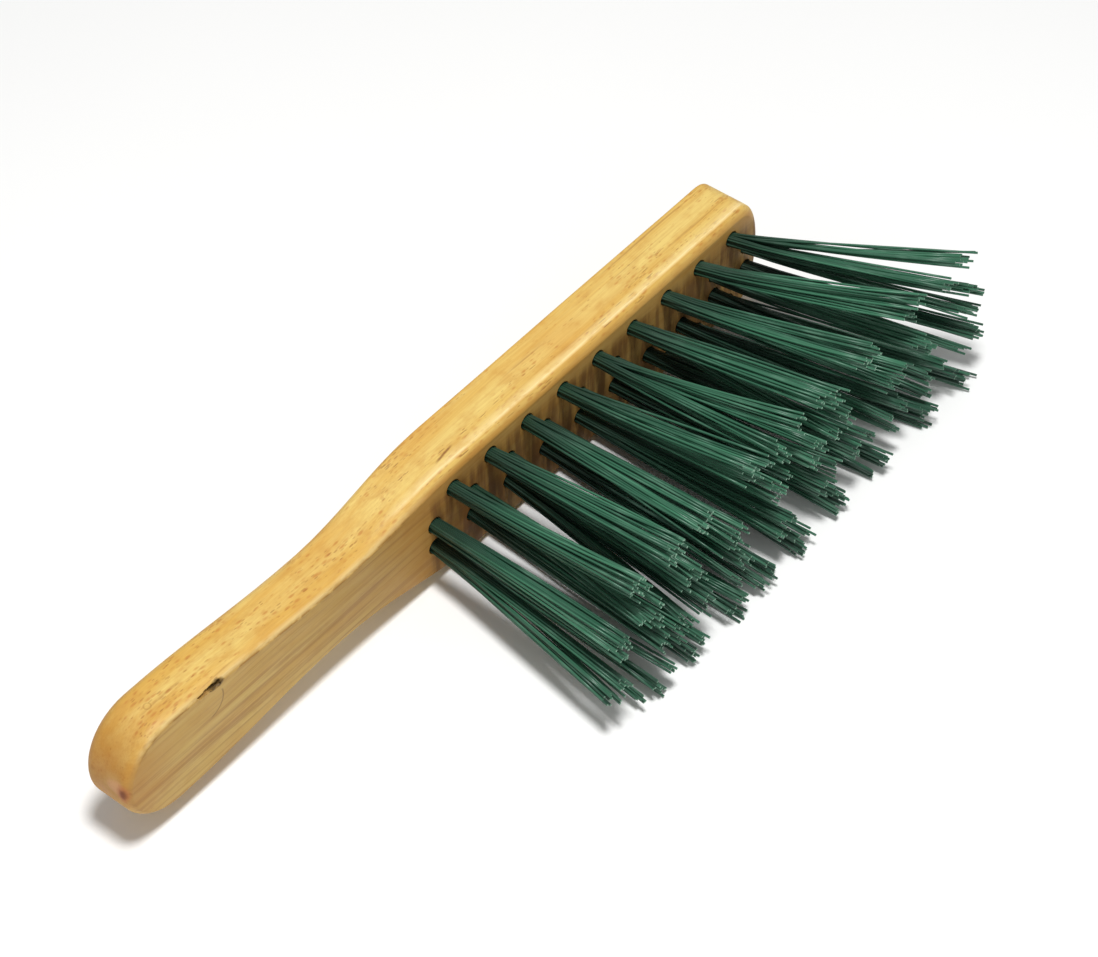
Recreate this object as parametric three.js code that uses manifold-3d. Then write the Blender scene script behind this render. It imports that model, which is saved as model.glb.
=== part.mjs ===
// A staple-set hand brush: a one-piece wooden stock with a palm grip, a neck and a flat head,
// and rows of stiff filament tufts set in blind holes, each folded over a short flat-wire anchor.
// Millimetres. The brush lies on its narrow side: +X towards the head's end, the filaments point
// along -Y, and +Z is up. The exported group has its origin at the bottom centre of its box.
import * as THREE from "three";
import { mergeVertices } from "three/addons/utils/BufferGeometryUtils.js";
import Module from "manifold-3d";

// Stock. X is measured back from the end of the head, Z up from the head's lower side.
const STOCK_LENGTH = 303.5;
const STOCK_THICKNESS = 20;
const HEAD_WIDTH = 45.5;
const HEAD_END_LENGTH = 11.5; // how far the rounding of the head's end reaches
const HEAD_END_SIDE_PULL = 4; // how closely that rounding follows the long sides
const HEAD_END_MIDDLE_PULL = 12.5; // and how closely it follows the end itself
const HEAD_TOP_START = -158; // where the straight upper side of the head gives way to the neck
const HEAD_BOTTOM_START = -146;
const NECK_TOP = { x: -212, z: 39.6 };
const NECK_BOTTOM = { x: -214, z: 11 };
const PALM_RADIUS = 18.8;
const PALM_CENTRE_Z = 24.9;
const CURVE_PULL = 0.38; // how far each sweep runs level before it turns, as a share of its length
const HEAD_FRONT_EDGE = 2.6; // edge rounding on the head, at the bristle face
const HEAD_BACK_EDGE = 1.4; // and at the back
const HANDLE_EDGE = 4.4; // edge rounding on both sides of the palm grip
const EDGE_CHANGE_START = -160; // the edge rounding grows over this stretch of the neck
const EDGE_CHANGE_END = -205;
const EDGE_STEPS = 3;
const HANDLE_FALL = 1.1; // how far the bristle side falls back from the head to the palm grip's end
const OUTLINE_STEPS = 9; // points on each sweep of the outline

// Tuft holes in the bristle face, in four rows about the middle of the head
const ROW_OFFSETS = [14.25, 4.75, -4.75, -14.25];
const ROW_COUNTS = [9, 10, 10, 9];
const TUFT_PITCH = 18;
const INNER_ROW_MARGIN = 8.2; // from the head's end to the first hole of an inner row
const HOLE_RADIUS = 3;
const HOLE_DEPTH = 13;
const HOLE_SIDES = 12;

// Tufts
const BRISTLE_LENGTHS = [73, 75.5, 78.5, 81.5]; // from the face to the trimmed tips, row by row
const ROOT_RADIUS = 2.6;
const TIP_HALF_WIDTH = 6.4; // along the brush
const TIP_HALF_HEIGHT = 5.2; // across the rows
// Height of each row's tips: the rows splay apart, and droop a little towards the handle
const TIP_ROWS_AT_END = [47, 31, 17, 6.2];
const TIP_ROWS_AT_HANDLE = [43.2, 29, 15.5, 5.5];
const SPLAY_POWER = 1.15; // a tuft leaves its hole straight and bends outwards a little later
const SPLAY_STATIONS = [0, 0.12, 0.4, 0.7, 1];
const FOLD_CLEARANCE = 0.4; // between the fold and the bottom of the hole
const TUFT_SIDES = 8;

// The folded end of a tuft, at the bottom of its hole
const FOLD_TAPER_LENGTH = 4;
const FOLD_ROUNDING = 1; // length of the last, blunt part
const FOLD_SHOULDER_RADIUS = 2;
const FOLD_HALF_WIDTH = 1.8;
const FOLD_HALF_HEIGHT = 1.1;

// Lean along the brush, in degrees: a fan from the handle's end to the head's end, and a wander
// from tuft to tuft that each row joins at a place of its own
const FAN_AT_HANDLE = -2.5;
const FAN_AT_END = 16.5;
const FAN_POWER = 2.2;
const WANDER = [2, 2, 0.5, 0.5, -2, 1, -4.5, 0, 1.5, -1, -1.5, -3, 0.5];
const WANDER_ROW_STARTS = [0, 3, 10, 7];

// Flat-wire anchor across the fold of each tuft
const ANCHOR_LENGTH = 5;
const ANCHOR_DEPTH = 2.2;
const ANCHOR_THICKNESS = 0.5;

const FACE_Y = -STOCK_THICKNESS / 2;
const HEAD_MIDDLE_Z = HEAD_WIDTH / 2;

const wasm = await Module();
wasm.setup();

function solidFrom(geometry) {
  const bare = geometry.clone();
  bare.deleteAttribute("normal");
  bare.deleteAttribute("uv");
  const merged = mergeVertices(bare, 1e-4);
  return new wasm.Manifold(
    new wasm.Mesh({
      numProp: 3,
      vertProperties: new Float32Array(merged.attributes.position.array),
      triVerts: new Uint32Array(merged.index.array),
    }),
  );
}

function geometryFrom(solid) {
  const mesh = solid.getMesh();
  const geometry = new THREE.BufferGeometry();
  geometry.setAttribute("position", new THREE.BufferAttribute(mesh.vertProperties, 3));
  geometry.setIndex(new THREE.BufferAttribute(mesh.triVerts, 1));
  const flat = geometry.toNonIndexed();
  flat.computeVertexNormals();
  return flat;
}

// Closed surface through rings of points: the rings joined side by side, the first and the last
// closed with the given triangles. Ring points run anticlockwise seen from -Y, and the rings
// follow one another towards +Y.
function loftGeometry(rings, capTriangles) {
  const count = rings[0].length;
  const indices = [];
  for (let ring = 0; ring + 1 < rings.length; ring += 1) {
    for (let i = 0; i < count; i += 1) {
      const next = (i + 1) % count;
      const a = ring * count + i;
      const b = ring * count + next;
      indices.push(a, a + count, b, b, a + count, b + count);
    }
  }
  const last = (rings.length - 1) * count;
  for (const [a, b, c] of capTriangles) {
    indices.push(a, b, c);
    indices.push(last + a, last + c, last + b);
  }
  const geometry = new THREE.BufferGeometry();
  const positions = rings.flat().flatMap((p) => [p.x, p.y, p.z]);
  geometry.setAttribute("position", new THREE.Float32BufferAttribute(positions, 3));
  geometry.setIndex(indices);
  return geometry;
}

// A sweep between two points that is level at both ends
function sweepTo(shape, from, to) {
  const pull = CURVE_PULL * (to.x - from.x);
  shape.bezierCurveTo(from.x + pull, from.z, to.x - pull, to.z, to.x, to.z);
}

// The stock's outline in X and Z, anticlockwise seen from the bristle side
function stockOutline() {
  const palmX = PALM_RADIUS - STOCK_LENGTH;
  const palmTop = { x: palmX, z: PALM_CENTRE_Z + PALM_RADIUS };
  const palmBottom = { x: palmX, z: PALM_CENTRE_Z - PALM_RADIUS };
  const headTop = { x: HEAD_TOP_START, z: HEAD_WIDTH };
  const headBottom = { x: HEAD_BOTTOM_START, z: 0 };
  const endMiddle = { x: 0, z: HEAD_MIDDLE_Z };
  const endLow = HEAD_MIDDLE_Z - HEAD_END_MIDDLE_PULL;
  const endHigh = HEAD_MIDDLE_Z + HEAD_END_MIDDLE_PULL;

  const shape = new THREE.Shape();
  shape.moveTo(headBottom.x, headBottom.z);
  shape.lineTo(-HEAD_END_LENGTH, 0);
  shape.bezierCurveTo(-HEAD_END_SIDE_PULL, 0, endMiddle.x, endLow, endMiddle.x, endMiddle.z);
  shape.bezierCurveTo(endMiddle.x, endHigh, -HEAD_END_SIDE_PULL, HEAD_WIDTH, -HEAD_END_LENGTH, HEAD_WIDTH);
  shape.lineTo(headTop.x, headTop.z);
  sweepTo(shape, headTop, NECK_TOP);
  sweepTo(shape, NECK_TOP, palmTop);
  shape.absarc(palmX, PALM_CENTRE_Z, PALM_RADIUS, Math.PI / 2, 1.5 * Math.PI, false);
  sweepTo(shape, palmBottom, NECK_BOTTOM);
  sweepTo(shape, NECK_BOTTOM, headBottom);

  const points = shape.getPoints(OUTLINE_STEPS);
  return points.filter((p, i) => p.distanceTo(points[(i + 1) % points.length]) > 1e-3);
}

// Edge rounding at a place along the stock, given what it is on the head
function edgeRadius(x, headEdge) {
  const share = THREE.MathUtils.smoothstep(-x, -EDGE_CHANGE_START, -EDGE_CHANGE_END);
  return THREE.MathUtils.lerp(headEdge, HANDLE_EDGE, share);
}

// The direction into the wood at each point of the outline
function inwardDirections(points) {
  return points.map((p, i) => {
    const before = points[(i + points.length - 1) % points.length];
    const after = points[(i + 1) % points.length];
    const along = p.clone().sub(before).normalize().add(after.clone().sub(p).normalize());
    along.normalize();
    return new THREE.Vector2(-along.y, along.x);
  });
}

// The outline carried from the bristle face to the back, with both its edges rounded
function stockBlank() {
  const outline = stockOutline();
  const inward = inwardDirections(outline);
  const ringAt = (angle, side) =>
    outline.map((p, i) => {
      const radius = edgeRadius(p.x, side < 0 ? HEAD_FRONT_EDGE : HEAD_BACK_EDGE);
      const inset = radius * (1 - Math.sin(angle));
      const y = side * (STOCK_THICKNESS / 2 - radius * (1 - Math.cos(angle)));
      return new THREE.Vector3(p.x + inward[i].x * inset, y, p.y + inward[i].y * inset);
    });
  const angles = Array.from({ length: EDGE_STEPS + 1 }, (_, i) => (i / EDGE_STEPS) * (Math.PI / 2));
  const front = angles.map((angle) => ringAt(angle, -1));
  const back = angles.map((angle) => ringAt(angle, 1)).reverse();
  const faceOutline = front[0].map((p) => new THREE.Vector2(p.x, p.z));
  const caps = THREE.ShapeUtils.triangulateShape(faceOutline, []);
  return loftGeometry([...front, ...back], caps);
}

// Where each tuft stands: its row, its number from the head's end and the centre of its hole
function tuftPlaces() {
  return ROW_COUNTS.flatMap((count, row) => {
    const isInner = Math.abs(ROW_OFFSETS[row]) < Math.abs(ROW_OFFSETS[0]);
    const margin = INNER_ROW_MARGIN + (isInner ? 0 : TUFT_PITCH / 2);
    return Array.from({ length: count }, (_, number) => ({
      row,
      number,
      x: -margin - TUFT_PITCH * number,
      z: HEAD_MIDDLE_Z + ROW_OFFSETS[row],
    }));
  });
}

function drilledStock(places) {
  const overrun = 1;
  const drill = new THREE.CylinderGeometry(HOLE_RADIUS, HOLE_RADIUS, HOLE_DEPTH + overrun, HOLE_SIDES);
  const middleY = FACE_Y + (HOLE_DEPTH - overrun) / 2;
  let stock = solidFrom(stockBlank());
  for (const { x, z } of places) {
    stock = stock.subtract(solidFrom(drill.clone().translate(x, middleY, z)));
  }
  return geometryFrom(stock.subtract(solidFrom(handleFall())));
}

// The long wedge planed off the bristle side of the handle, from the neck to the palm grip's end
function handleFall() {
  const overrun = 1;
  const slope = HANDLE_FALL / (STOCK_LENGTH + HEAD_TOP_START);
  const endX = -STOCK_LENGTH - overrun;
  const shape = new THREE.Shape();
  shape.moveTo(HEAD_TOP_START + overrun / slope, FACE_Y - overrun);
  shape.lineTo(endX, FACE_Y + slope * (HEAD_TOP_START - endX));
  shape.lineTo(endX, FACE_Y - overrun);
  const wedge = new THREE.ExtrudeGeometry(shape, { depth: HEAD_WIDTH + 2 * overrun, bevelEnabled: false });
  return wedge.translate(0, 0, -overrun);
}

// Where the tips of a tuft are, in X and Z
function tipPlace({ row, number, x }) {
  const fieldLength = TUFT_PITCH * Math.max(...ROW_COUNTS);
  const alongField = THREE.MathUtils.clamp(1 + (x + INNER_ROW_MARGIN) / fieldLength, 0, 1);
  const fan = THREE.MathUtils.lerp(FAN_AT_HANDLE, FAN_AT_END, alongField ** FAN_POWER);
  const wander = WANDER[(number + WANDER_ROW_STARTS[row]) % WANDER.length];
  return {
    x: x + BRISTLE_LENGTHS[row] * Math.tan(THREE.MathUtils.degToRad(fan + wander)),
    z: THREE.MathUtils.lerp(TIP_ROWS_AT_HANDLE[row], TIP_ROWS_AT_END[row], alongField),
  };
}

// One tuft with its anchor: a bundle folded narrow at the bottom of its hole, round where it
// fills the hole, and splayed towards its tips
function tuftGeometry(place) {
  const foldY = FACE_Y + HOLE_DEPTH - FOLD_CLEARANCE;
  const tip = tipPlace(place);
  const sections = SPLAY_STATIONS.map((t) => ({
    y: FACE_Y - BRISTLE_LENGTHS[place.row] * t,
    x: THREE.MathUtils.lerp(place.x, tip.x, t ** SPLAY_POWER),
    z: THREE.MathUtils.lerp(place.z, tip.z, t ** SPLAY_POWER),
    halfWidth: THREE.MathUtils.lerp(ROOT_RADIUS, TIP_HALF_WIDTH, t),
    halfHeight: THREE.MathUtils.lerp(ROOT_RADIUS, TIP_HALF_HEIGHT, t),
  })).reverse();
  const addInHole = (distance, halfWidth, halfHeight) => {
    sections.push({ x: place.x, y: foldY - distance, z: place.z, halfWidth, halfHeight });
  };
  addInHole(FOLD_TAPER_LENGTH, ROOT_RADIUS, ROOT_RADIUS);
  addInHole(FOLD_ROUNDING, FOLD_SHOULDER_RADIUS, FOLD_SHOULDER_RADIUS);
  addInHole(0, FOLD_HALF_WIDTH, FOLD_HALF_HEIGHT);

  const rings = sections.map((section) =>
    Array.from({ length: TUFT_SIDES }, (_, i) => {
      const angle = ((i + 0.5) / TUFT_SIDES) * 2 * Math.PI;
      const x = section.x + section.halfWidth * Math.cos(angle);
      const z = section.z + section.halfHeight * Math.sin(angle);
      return new THREE.Vector3(x, section.y, z);
    }),
  );
  const caps = Array.from({ length: TUFT_SIDES - 2 }, (_, i) => [0, i + 1, i + 2]);
  const anchor = new THREE.BoxGeometry(ANCHOR_LENGTH, ANCHOR_DEPTH, ANCHOR_THICKNESS);
  anchor.translate(place.x, foldY - FOLD_ROUNDING - ANCHOR_DEPTH / 2, place.z);
  return geometryFrom(solidFrom(loftGeometry(rings, caps)).add(solidFrom(anchor)));
}

const places = tuftPlaces();
const brush = new THREE.Group();

const varnishedWood = new THREE.MeshStandardMaterial({ color: 0xd6a24e, roughness: 0.42, metalness: 0 });
const stock = new THREE.Mesh(drilledStock(places), varnishedWood);
stock.name = "wooden_stock";
brush.add(stock);

for (const place of places) {
  const filament = new THREE.MeshStandardMaterial({ color: 0x1d4a36, roughness: 0.45, metalness: 0 });
  const tuft = new THREE.Mesh(tuftGeometry(place), filament);
  tuft.name = `tuft_row${place.row + 1}_${String(place.number + 1).padStart(2, "0")}`;
  brush.add(tuft);
}

const extent = new THREE.Box3().setFromObject(brush);
const middle = extent.getCenter(new THREE.Vector3());
brush.position.set(-middle.x, -middle.y, -extent.min.z);

const part = new THREE.Group();
part.add(brush);

export default part;
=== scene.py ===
"""The looks of the bee brush: its varnished stock, its green filaments and their wire anchors."""
import math
import random
from typing import NamedTuple

import bmesh
import bpy
import numpy as np
from mathutils import Matrix, Vector, noise


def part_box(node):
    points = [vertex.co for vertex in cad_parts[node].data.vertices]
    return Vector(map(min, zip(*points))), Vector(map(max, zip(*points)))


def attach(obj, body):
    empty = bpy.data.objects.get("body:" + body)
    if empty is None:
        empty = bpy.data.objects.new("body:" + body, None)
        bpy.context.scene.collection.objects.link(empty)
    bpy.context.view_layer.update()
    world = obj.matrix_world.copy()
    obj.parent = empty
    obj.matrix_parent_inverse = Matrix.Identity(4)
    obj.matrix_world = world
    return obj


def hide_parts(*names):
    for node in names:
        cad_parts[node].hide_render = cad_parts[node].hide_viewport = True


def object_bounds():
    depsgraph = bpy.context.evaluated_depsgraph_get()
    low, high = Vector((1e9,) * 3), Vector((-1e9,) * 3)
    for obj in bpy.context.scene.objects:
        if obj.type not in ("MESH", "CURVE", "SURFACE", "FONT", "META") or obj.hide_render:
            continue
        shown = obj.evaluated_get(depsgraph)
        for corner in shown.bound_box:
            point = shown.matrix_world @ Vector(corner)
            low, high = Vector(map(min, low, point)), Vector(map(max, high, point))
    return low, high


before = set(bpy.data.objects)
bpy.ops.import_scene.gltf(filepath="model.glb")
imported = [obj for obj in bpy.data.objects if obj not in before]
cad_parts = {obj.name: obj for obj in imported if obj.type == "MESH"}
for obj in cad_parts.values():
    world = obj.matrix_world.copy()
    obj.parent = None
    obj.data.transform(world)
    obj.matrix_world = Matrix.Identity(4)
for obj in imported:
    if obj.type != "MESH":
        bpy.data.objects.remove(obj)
cad_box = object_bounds()

MM = 0.001
STOCK = "wooden_stock"
ROWS = (1, 2, 3, 4)
stock_low, stock_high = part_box(STOCK)


def on_stock(x, y, z):
    """A point given in millimetres from the palm's end, the head's bristle face and the floor."""
    return Vector((stock_low.x + x * MM, stock_low.y + y * MM, z * MM))


# Camera: it looks at a point a little off the middle of the brush's box
CAMERA_AZIMUTH = -51.252
CAMERA_ELEVATION = 47.189
CAMERA_DISTANCE = 894.77 * MM
CAMERA_AIM_RIGHT = -6.97 * MM
CAMERA_AIM_UP = 13.12 * MM
CAMERA_LENS = 95.15
CAMERA_SENSOR = 36.0
CAMERA_CLIP_START = 0.01
CAMERA_CLIP_END = 50

# Studio: each light's place, size and power
KEY_LIGHT = ((-0.12, -0.15, 1.3), 0.3, 15.0)
FILL_LIGHT = ((-0.9, -1.1, 0.7), 1.2, 2.3)
SKY_STRENGTH = 0.32
FLOOR_HALF_SIZE = 3.0
FLOOR_GAP = 0.02 * MM

# Stock
SECTION_FROM_BACK = 6 * MM  # a cut here meets neither the tuft holes nor the rounded edges
WELD_DISTANCE = 0.001 * MM
SIDE_POINTS = 250  # along each long side of the outline
FINE_POINTS = 4 * SIDE_POINTS  # round the outline while it is smoothed
OUTLINE_SMOOTHING = 0.8 * MM
HEAD_FRONT_EDGE = 2.9 * MM
HEAD_BACK_EDGE = 1.1 * MM
HANDLE_EDGE = 4.4 * MM  # its back edge's radius; its front edge ends this far behind the head's face
HANDLE_FRONT_INSET = 1.9 * MM  # from the side to the crease on the bristle side
HANDLE_FALL = 1.1 * MM  # how far the bristle side falls back from the head to the palm's end
FALL_START_X = stock_high.x - 158 * MM
EDGE_START = math.radians(35)  # a rounded edge leaves its face with a crease, then turns smoothly
CREASE_SUPPORT = 0.3 * MM  # keeps the shading of a crease this narrow
EDGE_CHANGE_START = 150 * MM  # from the head's end
EDGE_CHANGE_END = 215 * MM
EDGE_STEPS = 7
SIDE_STEPS = 6
FACE_STEPS = 18
SANDING_DEPTH = 0.16 * MM
SANDING_LENGTH = 45 * MM
HOLE_RADIUS = 3 * MM
HOLE_DEPTH = 13 * MM
HOLE_SIDES = 40
DRILL_OVERRUN = 1 * MM
SHARP_ANGLE = math.radians(38)
# How strongly each ring of points carries the wear marks and the painted highlights, with the rings
# counted from the face
RING_MARKS = {
    "front_crease": {0: 0.4, 1: 1.0, 2: 0.3},
    "front_ridge": {2: 0.7, 3: 0.9, 4: 0.5},
    "upper_crease": {EDGE_STEPS: 0.6, EDGE_STEPS + 1: 1.0, EDGE_STEPS + 2: 0.7},
}

# The chip on the edge of the palm grip: a shallow split along the edge with a deep end
CHIP_SPLIT = on_stock(35.0, 1.25, 41.6)
CHIP_SPLIT_SIZE = Vector((4.2, 0.9, 0.8)) * MM
CHIP_CORE = on_stock(38.2, 1.35, 41.05)
CHIP_CORE_SIZE = Vector((2.6, 1.1, 1.0)) * MM
CHIP_SWELLS = ((0.45, 1.7), (0.25, 5))  # the share and the fineness of its coarse and fine swells
CHIP_SUBDIVISIONS = 4

# Filaments
FILAMENT_RADIUS = 0.4 * MM
FILAMENT_SIDES = 8
PACKED_RADIUS = 2.32 * MM  # where the outermost filaments stand in a hole
PACKED_PITCH = 0.79 * MM
FREE_STEPS = 7
FOLD_STEPS = 5
FOLD_ROOM = 3.5 * MM  # along the anchor, for the filaments that turn round it
FOLD_LAYERS = 3
FOLD_FIRST_LAYER = 1.25  # above the wire, in filament radii
FOLD_LAYER_PITCH = 1.65
SPLAY_POWER = 1.15  # how late a tuft leans
SPREAD_POWER = 1.1  # and how late its filaments part
BENT_SPLAY_POWER = 1.05
BENT_SPREAD_POWER = 1.0
CLUSTERS = 4
CLUSTER_TURN = 0.3  # either way, from even turns
CLUSTER_REACH = (0.4, 0.62)  # from the tuft's middle line
CLUSTER_SIZE = 0.45
CLUSTER_PULL = 0.85
CLUSTER_WANDER = 0.3
END_SCATTER = 0.07
STRAY_SHARE = 0.05
STRAY_REACH = (0.15, 0.5)
LENGTH_SPREAD = 1.2 * MM
CLUSTER_LENGTH_SPREAD = LENGTH_SPREAD / 2
LONGEST_EXTRA = 2.6 * MM
BOW = 0.45 * MM
# Bundles bent away from their tufts at the head's end: the share of the tuft's filaments, and the
# place of their tips in half-widths along and half-heights up
BENT_BUNDLES = {
    "tuft_row1_01": (0.24, (0.8, 1.6), (0.1, 0.9)),
    "tuft_row4_01": (0.07, (0.9, 1.3), (-0.9, -0.3)),
}
SHADE_SPREAD = 0.16  # of 1, from a dark filament to a pale one
ROW_PAINTED_SHADES = {1: 0.56, 2: 0.5, 3: 0.38, 4: 0.3}  # the lower rows are darker: painted shade, as if the rows above shaded them
FIRST_SEED = 4100
FLOOR_CLEARANCE = 0.15 * MM
TOP_LIMIT = 1.2 * MM  # how far a stray may stand above the CAD box
CAD_TUFT_SIDES = 8  # of each ring of a CAD tuft; flat ones face along X and Z
SAME_LEVEL = 0.01 * MM

# Anchors of flat wire, across the fold of each tuft
ANCHOR_LENGTH = 6.1 * MM  # its ends bite into the wall of the hole
ANCHOR_DEPTH = 2.2 * MM
ANCHOR_THICKNESS = 0.5 * MM
ANCHOR_FROM_FOLD = 2.1 * MM  # from the deepest filament to the middle of the folds
ANCHOR_OVERLAP = 0.1 * MM  # how far the wire's edge reaches past the middle of the folds
ANCHOR_BEVEL = 0.12 * MM


# ---------------------------------------------------------------- the tones of the materials

class Tone(NamedTuple):
    """A colour laid over a material by a stretched noise."""
    scale: tuple  # waves per metre along X, Y and Z
    levels: tuple  # of the noise, where the colour is weakest and where it is strongest
    shares: tuple  # of the colour at those levels
    colour: tuple  # in display values from 0 to 255
    detail: float = 3.0
    roughness: float = 0.55


class Pores(NamedTuple):
    """Short marks along the grain, each in a stretched cell of its own."""
    scale: tuple  # cells per metre along X, Y and Z
    crowding: tuple  # the levels between which they crowd together
    reach: tuple  # how far a mark reaches in its cell, where they are few and where they crowd
    kept: float  # the share of the cells that hold a mark
    softness: float
    share: float
    colour: tuple


PALE_GRAIN = (228, 199, 116)
GRAIN_BANDS = Tone((4, 130, 130), (0.36, 0.66), (0, 1), (213, 169, 80), detail=4.0, roughness=0.6)
AMBER_PATCHES = Tone((16, 30, 30), (0.46, 0.74), (0, 0.5), (208, 150, 64))
BROWN_MOTTLE = Tone((110, 230, 230), (0.46, 0.72), (0, 0.4), (194, 138, 58))
FIBRES = Tone((45, 1500, 1500), (0.3, 0.75), (0, 0.3), (176, 124, 56), roughness=0.7)
MINERAL_STREAKS = Tone(
    (11, 420, 420), (0.66, 0.76), (0, 0.45), (146, 92, 46), detail=2.0, roughness=0.4
)
PLANED_LINES = Tone((13, 620, 620), (0.48, 0.72), (0, 0.6), (150, 106, 54))
# Streaks of painted shadow below the tufts on the head's bristle face
SHADOW_STREAKS = Tone((300, 60, 34), (0.36, 0.6), (0.15, 0.75), (112, 70, 34))
# Painted highlights on the rounded edges: along the head's upper edge and along the handle's ridge
HEAD_EDGE_HIGHLIGHT = Tone((160, 500, 500), (0.3, 0.56), (0.35, 0.8), (246, 226, 166), detail=4.0)
RIDGE_HIGHLIGHT = Tone((160, 500, 500), (0.3, 0.56), (0.2, 0.6), (232, 208, 148), detail=4.0)
ROUGH_CREASE = Tone((210, 500, 500), (0.4, 0.56), (0.08, 0.85), (136, 94, 40), detail=4.0)
PLASTIC_WEAR = Tone((240, 60, 240), (0.5, 0.8), (0, 0.4), (118, 162, 138))

SOFT_SPOTS = Pores(
    scale=(300, 820, 820), crowding=(0.34, 0.62), reach=(0.14, 0.58), kept=0.85, softness=0.42,
    share=0.6, colour=(180, 108, 44),
)
DOTS = Pores(
    scale=(330, 1300, 1300), crowding=(0.34, 0.66), reach=(0.05, 0.42), kept=0.6, softness=0.15,
    share=0.5, colour=(144, 86, 38),
)
DASHES = Pores(
    scale=(120, 1400, 1400), crowding=(0.34, 0.66), reach=(0.06, 0.36), kept=0.6, softness=0.12,
    share=0.66, colour=(128, 76, 36),
)
PORE_CROWDING_SCALE = (34, 120, 120)
PORES_ON_FACE = 0.35  # the share of them left on the bristle side
FAINTEST_PORE = 0.3

# The grain wanders slowly from a straight line along X
DRIFT_SCALE = (7, 22, 22)
DRIFT_SIZE = 4.5 * MM

# Even tints over a part of the wood, as a share and a colour
HANDLE_GREY = (0.55, (178, 146, 84))
NECK_BROWN = (0.34, (142, 90, 34))
PALM_ORANGE = (0.66, (170, 110, 42))
FACE_BROWN = (0.45, (188, 130, 62))
PALM_MIDDLE = Vector((stock_low.x - 4 * MM, stock_high.y, stock_high.z * 0.55))
PALM_TONE_SPAN = (36 * MM, 12 * MM)  # from that middle, where the orange starts and where it is full

# Spans over which a mask grows from 0 to 1: depths behind the bristle side, X from the palm's end,
# and Z from the floor
HEAD_FACE_DEPTHS = (1.6 * MM, 0.2 * MM)
HANDLE_FACE_DEPTHS = (1.4 * MM, 0.2 * MM)
HANDLE_SPAN = (150 * MM, 95 * MM)
BEFORE_HEAD_SPAN = (172 * MM, 150 * MM)
NEAR_NECK_SPAN = (55 * MM, 135 * MM)
CREASE_SPAN = (3 * MM, 13 * MM)
CREASE_HEIGHTS = (21 * MM, 33 * MM)
# Where the painted shadow streaks lie: Z, stronger lower down, and X
SHADOW_STREAK_HEIGHTS = (41 * MM, 34 * MM)
SHADOW_STREAK_SPAN = (-36 * MM, -27 * MM)  # X from the middle of the brush's box

# A streak of stain on the head's upper side, slanting across the grain. X is from the middle again
STREAK_SLANT = 0.13
STREAK_FROM_FACE = 8.15 * MM
STREAK_HALF_WIDTHS = (0.95 * MM, 0.4 * MM)
STREAK_START = (-22 * MM, -19 * MM)
STREAK_END = (-11.5 * MM, -14.5 * MM)
STREAK_BELOW_TOP = (3 * MM, 1 * MM)
STREAK_BROWN = (0.78, (126, 76, 36))
RAGGED_STREAK = ((500, 900, 900), 0.6 * MM)

# A faint ring on the palm grip
RING_PLACE = on_stock(18.9, 9.3, 43.7)
RING_RADIUS = 1.1 * MM
RING_HALF_WIDTHS = (0.35 * MM, 0.1 * MM)
RING_BROWN = (0.35, (150, 100, 44))

# The knot's pale halo and its core, as ovals
KNOT_HALO = (on_stock(0.4, 6.0, 27.6), Vector((4, 3.4, 2.6)) * MM)
KNOT_CORE = (on_stock(0.6, 3.4, 26.0), Vector((3.4, 1.9, 3.4)) * MM)
RAGGED_KNOT = ((500, 500, 500), 0.6)
# Where in the oval each tone starts and is full, then its share and its colour
KNOT_BLUSH = ((1.6, 0.8), 0.55, (214, 156, 112))
KNOT_RED = ((1.7, 0.9), 0.7, (178, 100, 48))
KNOT_HEART = ((1.1, 0.5), 0.85, (118, 56, 18))

# The crack is a piece of a circle on the palm grip's flat side
CRACK_MIDDLE = on_stock(34.0, 0, 35.9)
CRACK_RADIUS = 6.3 * MM
CRACK_HALF_WIDTHS = (0.44 * MM, 0.1 * MM)
CRACK_ALONG = (0, 1.5 * MM)  # from the circle's middle, where it fades in
CRACK_ABOVE = (2.6 * MM, 1.2 * MM)  # and where it fades out
CRACK_DEPTHS = (3 * MM, 1 * MM)
CRACK_BROWN = (0.6, (126, 92, 44))

# Grime in the chip, as ovals
SPLIT_GRIME = (CHIP_SPLIT + Vector((0, 0.5, -0.5)) * MM, Vector((4.4, 1.2, 0.9)) * MM)
CORE_GRIME = (CHIP_CORE, Vector((2.7, 1.5, 1.2)) * MM)
RAGGED_GRIME = ((700, 1500, 1500), 0.7)
SPLIT_BROWN = ((1.5, 0.8), 0.6, (134, 98, 50))
CORE_DARK = ((1.75, 1.2), 0.92, (84, 62, 26))

# The wood's surface under its varnish
FIBRE_HEIGHT = 0.4
PORE_DEPTH = 0.05 * MM
RIPPLE_SCALE = (90, 260, 260)
RIPPLE_DEPTH = 0.12 * MM
GLOSS_SCALE = (60, 140, 140)
GLOSS_LEVELS = (0.3, 0.75)
WOOD_ROUGHNESS = (0.5, 0.68)
WOOD_SPECULAR = 0.3
VARNISH = 0.06
VARNISH_ROUGHNESS = 0.45

# Filaments: dark and pale plastic, and painted shade that thickens towards the holes
DARK_GREEN = (22, 55, 42)
PALE_GREEN = (66, 126, 96)
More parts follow.
